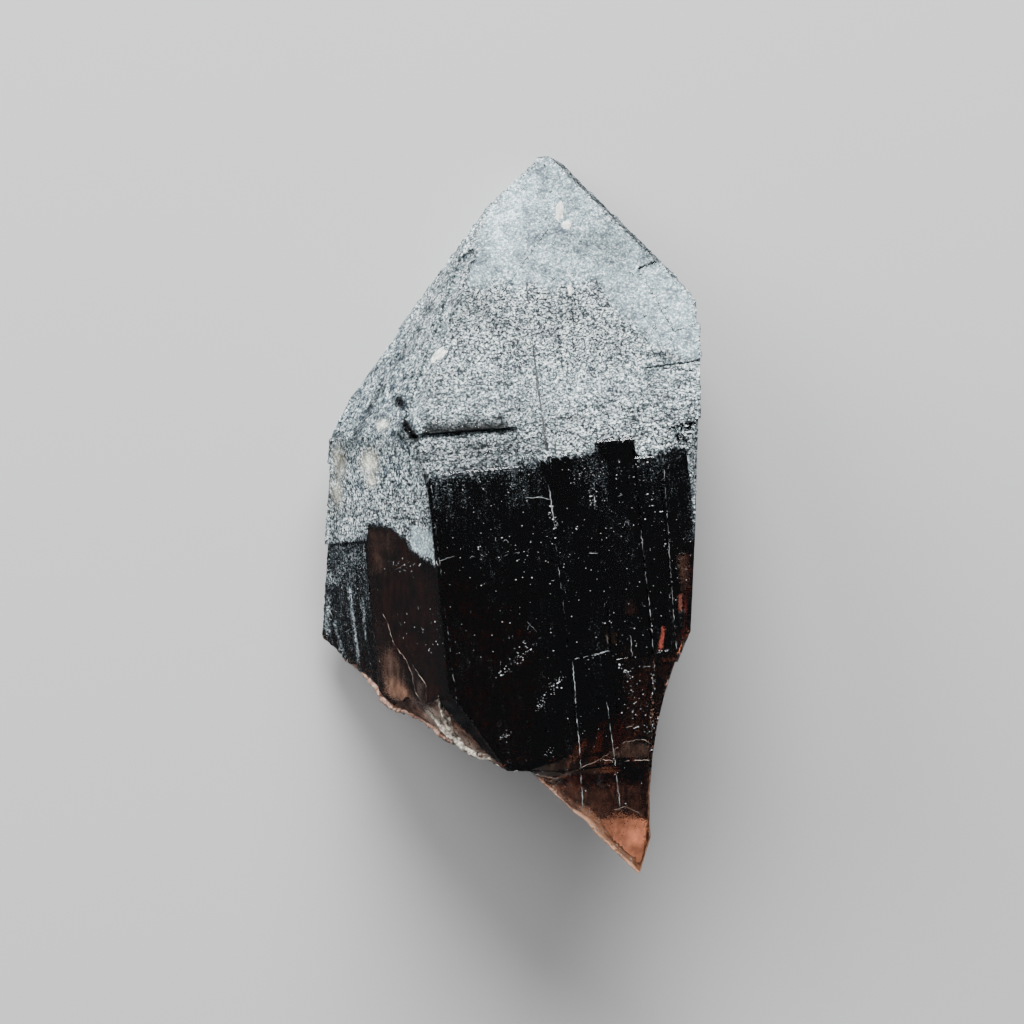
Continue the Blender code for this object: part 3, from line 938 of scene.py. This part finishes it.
def mottle_effect():
    """A mottled colour between a dark and a light one."""
    takes = (
        ("Grain Scale", FLOAT, 1300.0), ("Dark", COLOUR, (0, 0, 0, 1)),
        ("Light", COLOUR, (1, 1, 1, 1)),
    )
    effect = Effect("mottled stone", takes, (("Color", COLOUR), ("Grain", FLOAT)))
    grain = effect.noise(effect.takes["Grain Scale"])
    even = effect.node("MapRange")
    for label, value in (("Value", grain), ("From Min", 0.38), ("From Max", 0.64)):
        effect.give(even.inputs[label], value)
    tone = effect.mix(even.outputs["Result"], effect.takes["Dark"], effect.takes["Light"])
    effect.give(effect.gives["Color"], tone)
    effect.give(effect.gives["Grain"], grain)
    return effect.tree


SPECKLED, RIBBED, MOTTLED = speckle_effect(), rib_effect(), mottle_effect()


def about_z(degrees):
    return (0, 0, math.radians(degrees))


def quartz_material():
    paint = Paint("smoky quartz")
    paint.set(Base_Color=(1, 1, 1, 1), IOR=1.544, Transmission_Weight=1.0)
    lines = paint.noise(1.0, 3.0, (220, 4200, 220))
    paint.bump(lines, 0.02)
    rough = paint.math("MULTIPLY_ADD", paint.noise(500.0), 0.14, -0.02)
    paint.link(rough, paint.shader.inputs["Roughness"])
    volume = paint.node("VolumeAbsorption")
    volume.inputs["Color"].default_value = (0.72, 0.50, 0.36, 1)
    volume.inputs["Density"].default_value = 1900.0
    paint.link(volume.outputs["Volume"], paint.tree.nodes["Material Output"].inputs["Volume"])
    return paint.material


# Colours of the frosting for a pattern's value: of its smooth and its coarse grain, and then what
# its colour is multiplied by. The white ends of the grain are partly painted highlights: glints of
# the frosting's tiny facets.
FINE_GRAIN = (
    (0.42, (0.10, 0.135, 0.15)), (0.49, (0.19, 0.255, 0.28)), (0.55, (0.34, 0.43, 0.46)),
    (0.61, (0.95, 1.0, 1.0)),
)
COARSE_GRAIN = (
    (0.43, (0.008, 0.009, 0.011)), (0.475, (0.05, 0.062, 0.07)), (0.51, (0.16, 0.20, 0.21)),
    (0.545, (0.46, 0.55, 0.56)), (0.58, (1.0, 1.0, 1.0)),
)
THREADS = (0.455, (1, 1, 1)), (0.48, (1.45, 1.45, 1.42)), (0.505, (0.94, 0.94, 0.94))
CRACKS = (0.50, (1, 1, 1)), (0.525, (0.40, 0.40, 0.42)), (0.55, (1, 1, 1))
RIPPLES = (0.40, (0.10, 0.10, 0.11)), (0.47, (0.70, 0.71, 0.72)), (0.54, (1.24, 1.24, 1.24))
PATCHES = (0.34, (0.46, 0.46, 0.49)), (0.50, (0.95, 0.95, 0.95)), (0.66, (1.3, 1.3, 1.3))
SLANTED = (0.40, (0.22, 0.25, 0.29)), (0.5, (0.85, 0.88, 0.9)), (0.6, (1.25, 1.25, 1.25))
THIN = (0.12, (0.10, 0.105, 0.115)), (0.45, (0.34, 0.35, 0.37)), (0.85, (1, 1, 1))
LIGHT = (0.0, (0, 0, 0)), (1.0, (1.667, 1.667, 1.667))
LIGHT_SHARE = 0.6  # brings the most light of a place to the end of the colours in LIGHT
YELLOWISH = (0.95, 0.90, 0.68)


def frost_material():
    paint = Paint("frosted quartz")
    # painted glints: where this fine noise peaks, the grain turns white
    sparkle = paint.noise(5400.0, 3.0, rough=0.7)
    clumps = paint.noise(3300.0, 4.0, (1, 0.85, 1), rough=0.72)
    grain = paint.math("MULTIPLY_ADD", sparkle, 0.5, paint.math("MULTIPLY", clumps, 0.5))
    fine, coarse = paint.ramp(grain, FINE_GRAIN), paint.ramp(grain, COARSE_GRAIN)
    colour = paint.mix(paint.value_of("coarse"), fine, coarse)
    colour = paint.times(colour, paint.ramp(paint.noise(1300.0, 4.0, rough=0.65), THREADS))
    cracks = paint.noise(1700.0, 4.0, (1, 1.5, 1), rough=0.7)
    colour = paint.times(colour, paint.ramp(cracks, CRACKS), paint.value_of("coarse"))
    ripples = paint.effect(RIBBED, Stretch=(1000, 4300, 1000))["Ribs"]
    colour = paint.times(colour, paint.ramp(ripples, RIPPLES), paint.value_of("rippled"))
    colour = paint.times(colour, paint.ramp(paint.noise(620.0, 4.0, rough=0.65), PATCHES))
    slanted = paint.effect(RIBBED, Turn=about_z(-38), Stretch=(1900, 260, 1900))["Ribs"]
    colour = paint.times(colour, paint.ramp(slanted, SLANTED), paint.value_of("streaked"))
    colour = paint.times(colour, paint.ramp(paint.value_of("cover"), THIN))
    yellow = paint.math("MULTIPLY", paint.value_of("warm"), clumps)
    colour = paint.mix(yellow, colour, YELLOWISH)
    light = paint.math("MULTIPLY", paint.value_of("shade"), LIGHT_SHARE)
    colour = paint.times(colour, paint.ramp(light, LIGHT))
    paint.link(colour, paint.shader.inputs["Base Color"])
    paint.set(Roughness=0.6, Specular_IOR_Level=0.1)
    bands = paint.math("MULTIPLY", paint.effect(RIBBED, Stretch=(800, 170, 800))["Ribs"], 0.45)
    teeth = paint.effect(RIBBED, Stretch=(2600, 600, 2600))["Ribs"]
    teeth = paint.math("SUBTRACT", paint.math("MULTIPLY_ADD", teeth, 0.5, bands), 0.475)
    bare = paint.math("SUBTRACT", 1.0, paint.value_of("cover"))
    ragged = paint.math("MULTIPLY", teeth, bare)
    least = paint.math("MULTIPLY_ADD", paint.value_of("cover"), 0.62, 0.22)
    least = paint.math("ADD", least, ragged)
    keep = paint.effect(SPECKLED, Grain_Scale=7000.0, Share=least)["Cover"]
    paint.link(keep, paint.shader.inputs["Alpha"])
    paint.bump(grain, 0.08)
    return paint.material


# The same for the film of the break.
BREAK_TAN = (0.36, (0.10, 0.05, 0.033)), (0.52, (0.26, 0.14, 0.095)), (0.66, (0.40, 0.25, 0.19))
BREAK_CREAM = (0.36, (0.42, 0.33, 0.27)), (0.56, (0.86, 0.78, 0.68))
BREAK_RIBS = (0.38, (0.55, 0.50, 0.47)), (0.58, (1, 1, 1))
# painted glow: the lighter tan of the splinter's thin end
TIP_GLOW = (0.44, 0.235, 0.14)
BARE_BROWN = (0.10, 0.038, 0.026)


def break_material():
    paint = Paint("bruised quartz")
    clouds = paint.noise(900.0, 4.0, rough=0.62)
    ribs = paint.effect(RIBBED, Turn=about_z(40), Stretch=(500, 2600, 700))["Ribs"]
    # the splinter's thin end is painted lighter, as painted glow
    tan = paint.mix(paint.value_of("tip"), paint.ramp(clouds, BREAK_TAN), TIP_GLOW)
    clear = paint.math("MULTIPLY", paint.value_of("bare"), 0.8)
    tan = paint.mix(clear, tan, BARE_BROWN)
    tan = paint.times(tan, paint.ramp(ribs, BREAK_RIBS))
    ribbed = paint.math("MULTIPLY_ADD", ribs, 1.6, 0.1)
    share = paint.math("MINIMUM", paint.math("MULTIPLY", paint.value_of("cream"), ribbed), 1.0)
    cream = paint.ramp(clouds, BREAK_CREAM)
    paint.link(paint.mix(share, tan, cream), paint.shader.inputs["Base Color"])
    paint.set(Roughness=0.6, Specular_IOR_Level=0.25)
    least = paint.math("MULTIPLY_ADD", paint.value_of("bare"), -0.34, 0.60)
    keep = paint.effect(SPECKLED, Grain_Scale=4200.0, Share=least)["Cover"]
    paint.link(keep, paint.shader.inputs["Alpha"])
    paint.bump(ribs, 0.12)
    return paint.material


VEIL_CLOUDS = (0.34, (0.25, 0.24, 0.24)), (0.62, (1, 1, 1))


def veil_glow_material(name, share, bright):
    """A fracture, painted partly as glow, that shows by its share: the darker the less it shows."""
    paint = Paint(name)
    bright = tuple(VEIL_LIGHT * part for part in bright)
    ribs = paint.effect(RIBBED, Turn=about_z(12), Stretch=(1500, 260, 900))["Ribs"]
    clouds = paint.noise(330.0, 3.0, rough=0.6)
    dim = tuple(max(0.42, share - 0.4) * part for part in bright)
    colour = paint.ramp(ribs, ((0.38, dim), (0.62, bright)))
    colour = paint.times(colour, paint.ramp(clouds, VEIL_CLOUDS))
    paint.link(colour, paint.shader.inputs["Base Color"])
    paint.set(Roughness=0.5, Specular_IOR_Level=0.1)
    least = paint.math("MULTIPLY_ADD", paint.value_of("inside"), 0.30 * share, 0.36)
    keep = paint.effect(SPECKLED, Grain_Scale=9000.0, Share=least)["Cover"]
    paint.link(keep, paint.shader.inputs["Alpha"])
    paint.bump(ribs, 0.05)
    return paint.material


def mark_material(name, dark, light, roughness, size):
    paint = Paint(name)
    mottled = paint.effect(MOTTLED, Grain_Scale=size, Dark=dark, Light=light)
    paint.link(mottled["Color"], paint.shader.inputs["Base Color"])
    paint.set(Roughness=roughness)
    paint.bump(mottled["Grain"], 0.03)
    return paint.material


def top_of(tree, x, y):
    """The highest place of the crystal over X and Y, and the face's normal there."""
    spot, out, _, _ = tree.ray_cast(Vector((x * MM, y * MM, 0.1)), Vector((0, 0, -1)))
    return spot, out


def join(pieces, name):
    bpy.ops.object.select_all(action="DESELECT")
    for piece in pieces:
        piece.select_set(True)
    bpy.context.view_layer.objects.active = pieces[0]
    bpy.ops.object.join()
    joined = bpy.context.object
    joined.name = name
    joined.data.name = name
    bpy.ops.object.transform_apply(location=True, rotation=True, scale=True)
    return joined


def new_curve(name, roundness):
    curve = bpy.data.curves.new(name, "CURVE")
    curve.dimensions = "3D"
    curve.bevel_depth = MM
    curve.bevel_resolution = roundness
    curve.use_fill_caps = True
    return curve


def mesh_from(name, curve):
    piece = bpy.data.objects.new(name, curve)
    bpy.context.scene.collection.objects.link(piece)
    select_only(piece)
    bpy.ops.object.convert(target="MESH")
    return bpy.context.object


def add_run(curve, run, half, random_of):
    """One thin ridge with pointed ends."""
    if len(run) < 2:
        return
    spline = curve.splines.new("POLY")
    spline.points.add(len(run) - 1)
    for point, place in zip(spline.points, run):
        point.co = (*place, 1)
        point.radius = half * random_of.uniform(0.4, 1.25)
    spline.points[0].radius *= 0.3
    spline.points[-1].radius *= 0.3


def surface_lines(tree, name, lines, random_of, width):
    """Thin ridges, broken by gaps and at steps, that lie half sunk in the surface."""
    curve = new_curve(name, 1)
    for points, half, share in lines:
        run = []
        for (ax, ay), (bx, by) in zip(points, points[1:]):
            count = max(2, round(math.hypot(bx - ax, by - ay) / LINE_STEP))
            for number in range(count + 1):
                t = number / count
                spot, _ = top_of(tree, ax + (bx - ax) * t, ay + (by - ay) * t)
                shown = random_of.random() < share
                if run and spot is not None and abs(spot.z - run[-1].z) > LEVEL_GAP / 2 * MM:
                    shown = False
                if spot is not None and shown:
                    wander = Vector((random_of.gauss(0, 0.03), random_of.gauss(0, 0.03), 0)) * MM
                    run.append(spot + wander)
                if not shown or number == count:
                    add_run(curve, run, half * width, random_of)
                    run = []
    return mesh_from(name, curve)


def rim_place(tree, x, y):
    """The place on the crystal over X and Y, or over the nearest place towards its middle."""
    spot, _ = top_of(tree, x, y)
    while spot is None:
        x, y = x * 0.99, y * 0.99
        spot, _ = top_of(tree, x, y)
    return spot


def break_ridges(tree, name, lines):
    """Standing ridges of the break, as lumps half sunk in it."""
    curve = new_curve(name, 5)
    curve.resolution_u = 10
    for line in lines:
        spline = curve.splines.new("NURBS")
        spline.points.add(len(line) - 1)
        spline.use_endpoint_u = True
        spline.order_u = 3
        for point, (x, y, half) in zip(spline.points, line):
            spot = rim_place(tree, x, y)
            point.co = (spot.x, spot.y, spot.z - 0.45 * half * MM, 1)
            point.radius = half
    ridges = mesh_from(name, curve)
    finer = ridges.modifiers.new("fine", "SUBSURF")
    finer.levels = 2
    bpy.ops.object.modifier_apply(modifier=finer.name)
    weigh(ridges, "lumps", np.ones(len(ridges.data.vertices)))
    relief(ridges, "lumps", "CLOUDS", 0.36, (1, 1, 1), rise=0.5, noise_scale=0.7, noise_depth=2)
    relief(ridges, "lumps", "CLOUDS", 0.18, (1, 1, 1), rise=0.5, noise_scale=0.2, noise_depth=1)
    ridges.vertex_groups.clear()
    return ridges


def scars():
    """Short arcs, as lines for surface_lines."""
    for x, y, radius, first in SCARS:
        angles = [math.radians(first + 25 * step) for step in range(6)]
        arc = tuple((x + radius * math.cos(a), y + radius * math.sin(a)) for a in angles)
        yield arc, 0.045, 0.97


def speck_pieces(tree, random_of):
    """Small bright lumps, flat on the surface, copied from one shape."""
    bpy.ops.mesh.primitive_ico_sphere_add(subdivisions=1, radius=1.0)
    pattern = bpy.context.object
    pieces = []
    for (ax, ay), (bx, by), half, count in SPECKS:
        for _ in range(count):
            t = random_of.random()
            x = ax + (bx - ax) * t + random_of.gauss(0, half * 0.6)
            y = ay + (by - ay) * t + random_of.gauss(0, half * 0.6)
            spot, out = top_of(tree, x, y)
            if spot is None:
                continue
            speck = pattern.copy()
            speck.data = pattern.data.copy()
            bpy.context.scene.collection.objects.link(speck)
            radius = random_of.uniform(*SPECK_RADIUS) * random_of.choice((0.6, 0.8, 1.0, 1.2)) * MM
            long = random_of.uniform(1.0, 1.9)
            speck.scale = (radius * long, radius, radius * 0.5)
            speck.rotation_mode = "QUATERNION"
            speck.rotation_quaternion = out.to_track_quat("Z", "Y")
            speck.location = spot
            pieces.append(speck)
    bpy.data.objects.remove(pattern)
    return join(pieces, "pale_specks")


def chip_pieces(tree):
    """Flat, uneven chips, half sunk in the surface."""
    pieces = []
    for x, y, length, width, turn in CHIPS:
        spot, out = top_of(tree, x, y)
        bpy.ops.mesh.primitive_ico_sphere_add(subdivisions=4, radius=1.0)
        chip = bpy.context.object
        chip.scale = (width * MM, length * MM, 0.16 * MM)
        bpy.ops.object.transform_apply(scale=True)
        weigh(chip, "chip", np.ones(len(chip.data.vertices)))
        relief(chip, "chip", "CLOUDS", 0.3, (1, 1, 1), middle=(x, y, 0), rise=0.5, noise_scale=0.5)
        chip.rotation_mode = "QUATERNION"
        spin = Vector((0, 0, 1)).rotation_difference(out)
        chip.rotation_quaternion = spin @ Quaternion((0, 0, 1), math.radians(turn))
        chip.location = spot
        chip.vertex_groups.clear()
        pieces.append(chip)
    return join(pieces, "cleaved_chips")


def paint_with(piece, material):
    piece.data.materials.clear()
    piece.data.materials.append(material)


def finish_piece(piece, material, angle=SHARP_ANGLE):
    """Paint a piece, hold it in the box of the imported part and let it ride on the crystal."""
    paint_with(piece, material)
    low, high = (np.array(corner) for corner in cad_box)
    move_to(piece, np.clip(places(piece), low, high))
    select_only(piece)
    bpy.ops.object.shade_smooth_by_angle(angle=math.radians(angle))
    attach(piece, "root")


# The crystal.
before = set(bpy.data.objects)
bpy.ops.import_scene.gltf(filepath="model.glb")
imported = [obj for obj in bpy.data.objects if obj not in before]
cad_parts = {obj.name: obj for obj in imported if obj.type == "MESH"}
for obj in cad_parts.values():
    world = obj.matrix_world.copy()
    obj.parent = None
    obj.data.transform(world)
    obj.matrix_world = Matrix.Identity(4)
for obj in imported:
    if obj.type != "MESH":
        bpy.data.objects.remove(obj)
cad_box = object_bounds()
body = body_from(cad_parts["crystal"])
wear(body)
frost, back_frost = frost_skin(body)
broken_film = break_skin(body)
frosting = frost_material()
for piece, material in (
    (body, quartz_material()), (frost, frosting), (back_frost, frosting),
    (broken_film, break_material()),
):
    piece.data.attributes.remove(piece.data.attributes["on break"])
    piece.vertex_groups.clear()
    finish_piece(piece, material)
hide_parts("crystal")

tree = BVHTree.FromObject(body, bpy.context.evaluated_depsgraph_get())
random_of = random.Random(SEED)
# Inner fractures, coloured partly as painted glow and painted glints.
for number, (outline, depth, share, fade, bright) in enumerate(VEILS_AND_GLOWS, 1):
    sheet = veil_with_painted_glow(tree, number, outline, depth, fade)
    finish_piece(sheet, veil_glow_material(f"inner fracture and glow {number}", share, bright))

# Finishes of the small marks: dark colour, light colour, roughness and scale of the grain.
MARKS = {
    # the pale lines are partly painted highlights, where edges of steps catch the light
    "faint scratch and glint": ((0.015, 0.016, 0.018), (0.42, 0.45, 0.46), 0.4, 1100.0),
    "pale speck": ((0.10, 0.11, 0.12), (0.95, 0.98, 1.0), 0.35, 1500.0),
    "dark seam": ((0.004, 0.004, 0.005), (0.03, 0.03, 0.035), 0.5, 5000.0),
    "cleaved chip": ((0.50, 0.52, 0.48), (0.98, 1.0, 0.95), 0.5, 3000.0),
    "fracture edge": ((0.06, 0.04, 0.03), (0.48, 0.38, 0.31), 0.4, 1300.0),
    "bruised tan ridge": ((0.17, 0.09, 0.065), (0.48, 0.31, 0.24), 0.5, 1300.0),
    "bruised white ridge": ((0.10, 0.078, 0.06), (0.72, 0.66, 0.56), 0.5, 1500.0),
}
mark = {name: mark_material(name, *values) for name, values in MARKS.items()}
RIDGE_ANGLE = 60  # degrees
for name, lines, finish in (
    ("tan_ridges", TAN_RIDGES, "bruised tan ridge"),
    ("white_ridges", WHITE_RIDGES, "bruised white ridge"),
):
    finish_piece(break_ridges(tree, name, lines), mark[finish], RIDGE_ANGLE)
frost_tree = BVHTree.FromObject(frost, bpy.context.evaluated_depsgraph_get())
for base, name, lines, width, finish in (
    (tree, "growth_lines_and_glints", (*PALE_LINES_AND_GLINTS, *scars()), 0.55, "faint scratch and glint"),
    (tree, "fracture_edges", BREAK_LINES, 0.5, "fracture edge"),
    (frost_tree, "dark_seam", DARK_LINES, 1.3, "dark seam"),
):
    finish_piece(surface_lines(base, name, lines, random_of, width), mark[finish])
finish_piece(speck_pieces(tree, random_of), mark["pale speck"])
finish_piece(chip_pieces(frost_tree), mark["cleaved chip"])


# Floor, lights and camera, in metres and watts. The clear faces mirror a dark room in the
# photograph, so neither the pale floor nor the left light is seen in reflections.
FLOOR_SIZE, FLOOR_DROP, FLOOR_GREY = 4.0, 0.00005, 0.55
LIGHTS = (
    ("key light", (0.06, 0.55, 0.42), 0.50, 12.6, True),
    ("left light", (-0.53, 0.46, 0.34), 0.70, 8.6, False),
)
ROOM = (0.125, 0.13, 0.14)
FRAME_WIDTH = 0.1024
LENS = 600.0
SENSOR = 36.0
CAMERA_X, CAMERA_Y, AIM_HEIGHT = -0.00014, 0.00079, 0.013
CAMERA_TURN = -5.5  # degrees

bpy.ops.mesh.primitive_plane_add(size=FLOOR_SIZE, location=(0, 0, -FLOOR_DROP))
floor = bpy.context.object
floor.name = "studio_floor"
floor_paint = Paint("pale floor")
floor_paint.set(Base_Color=(FLOOR_GREY, FLOOR_GREY, FLOOR_GREY, 1), Roughness=0.8)
paint_with(floor, floor_paint.material)
floor.visible_glossy = False

for name, place, size, power, mirrored in LIGHTS:
    data = bpy.data.lights.new(name, "AREA")
    data.shape = "DISK"
    data.size = size
    data.energy = power
    lamp = bpy.data.objects.new(name, data)
    lamp.location = place
    lamp.rotation_euler = (-Vector(place)).to_track_quat("-Z", "Y").to_euler()
    lamp.visible_glossy = mirrored
    bpy.context.scene.collection.objects.link(lamp)
world = bpy.data.worlds.new("studio")
bpy.context.scene.world = world
world.use_nodes = True
world.node_tree.nodes["Background"].inputs["Color"].default_value = (*ROOM, 1)

camera_data = bpy.data.cameras.new("camera")
camera_data.lens = LENS
camera_data.sensor_width = SENSOR
camera_data.clip_end = 10.0
camera = bpy.data.objects.new("camera", camera_data)
bpy.context.scene.collection.objects.link(camera)
camera.location = (CAMERA_X, CAMERA_Y, AIM_HEIGHT + FRAME_WIDTH * LENS / SENSOR)
camera.rotation_euler = (0, 0, math.radians(CAMERA_TURN))
bpy.context.scene.camera = camera
